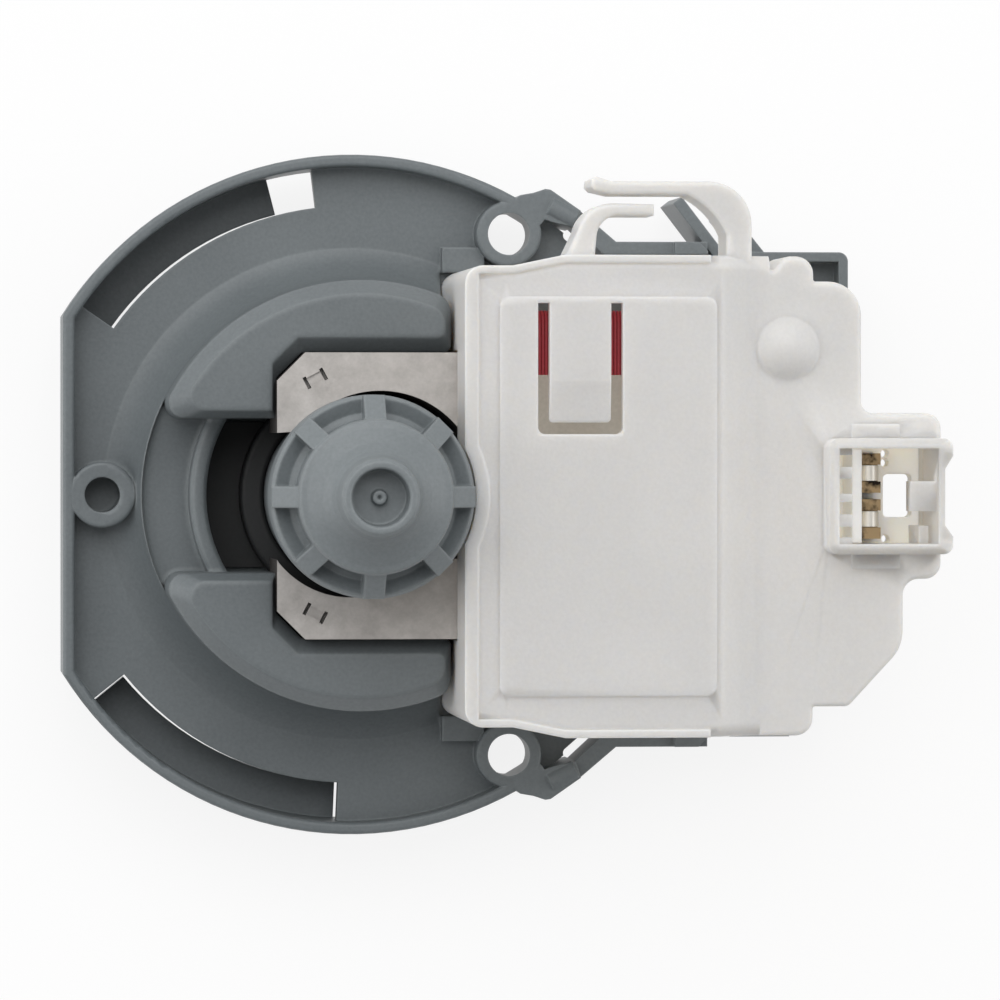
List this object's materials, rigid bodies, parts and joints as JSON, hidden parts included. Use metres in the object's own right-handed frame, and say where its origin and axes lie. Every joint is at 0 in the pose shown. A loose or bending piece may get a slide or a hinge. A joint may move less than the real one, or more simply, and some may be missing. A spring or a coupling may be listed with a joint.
{
  "type": "dishwasher drain pump",
  "caption": "Grey and white dishwasher drain pump with a synchronous motor, a bayonet mounting plate and a side connector.",
  "frame": {"origin": "on the shaft axis, at the front end of the spigot", "axes": "+Z along the shaft from the impeller to the rear end of the motor, +X from the shaft to the connector"},
  "size_m": [0.1087, 0.0868, 0.066],
  "materials": {
    "grey_plastic": "moulded, satin",
    "can_plastic": "moulded, satin",
    "white_plastic": "moulded, satin",
    "beige_plastic": "moulded, satin",
    "black_plastic": "moulded, satin",
    "black_rubber": "matte",
    "core_steel": "stamped laminations",
    "shaft_steel": "ground",
    "magnet_ferrite": "sintered ferrite",
    "bearing_carbon": "sintered carbon",
    "red_enamel": "enamelled wire, glossy",
    "strip_paper": "thin film",
    "contact_brass": "stamped",
    "tinned_wire": "tinned"
  },
  "bodies": {
    "pump_body": {"mounting_plate": "grey_plastic", "rotor_can": "can_plastic", "can_seal": "black_rubber", "stator_core": "core_steel", "bearing_plate": "grey_plastic", "front_bearing": "bearing_carbon", "front_bearing_holder": "black_rubber", "rear_bearing": "bearing_carbon", "rear_bearing_holder": "black_rubber", "spigot_seal": "black_rubber", "upper_bobbin": "beige_plastic", "lower_bobbin": "beige_plastic", "upper_winding": "red_enamel", "lower_winding": "red_enamel", "insulating_strip": "strip_paper", "coil_cover": "white_plastic", "terminal_block": "beige_plastic", "upper_contact": "contact_brass", "lower_contact": "contact_brass", "upper_winding_pin": "tinned_wire", "lower_winding_pin": "tinned_wire"},
    "rotor": {"rotor_shaft": "shaft_steel", "rotor_magnet": "magnet_ferrite", "rotor_hub": "beige_plastic", "front_thrust_washer": "bearing_carbon", "rear_thrust_washer": "bearing_carbon", "drive_dog": "black_plastic"},
    "impeller_wheel": {"impeller": "black_plastic", "impeller_cap": "black_plastic"}
  },
  "joints": [
    {"name": "rotor_spin", "type": "hinge", "parent": "pump_body", "child": "rotor", "pos_m": [0, 0, 0], "axis": [0, 0, 1], "continuous": true},
    {"name": "impeller_play", "type": "hinge", "parent": "rotor", "child": "impeller_wheel", "pos_m": [0, 0, 0], "axis": [0, 0, 1], "range_deg": [0, 230]}
  ]
}
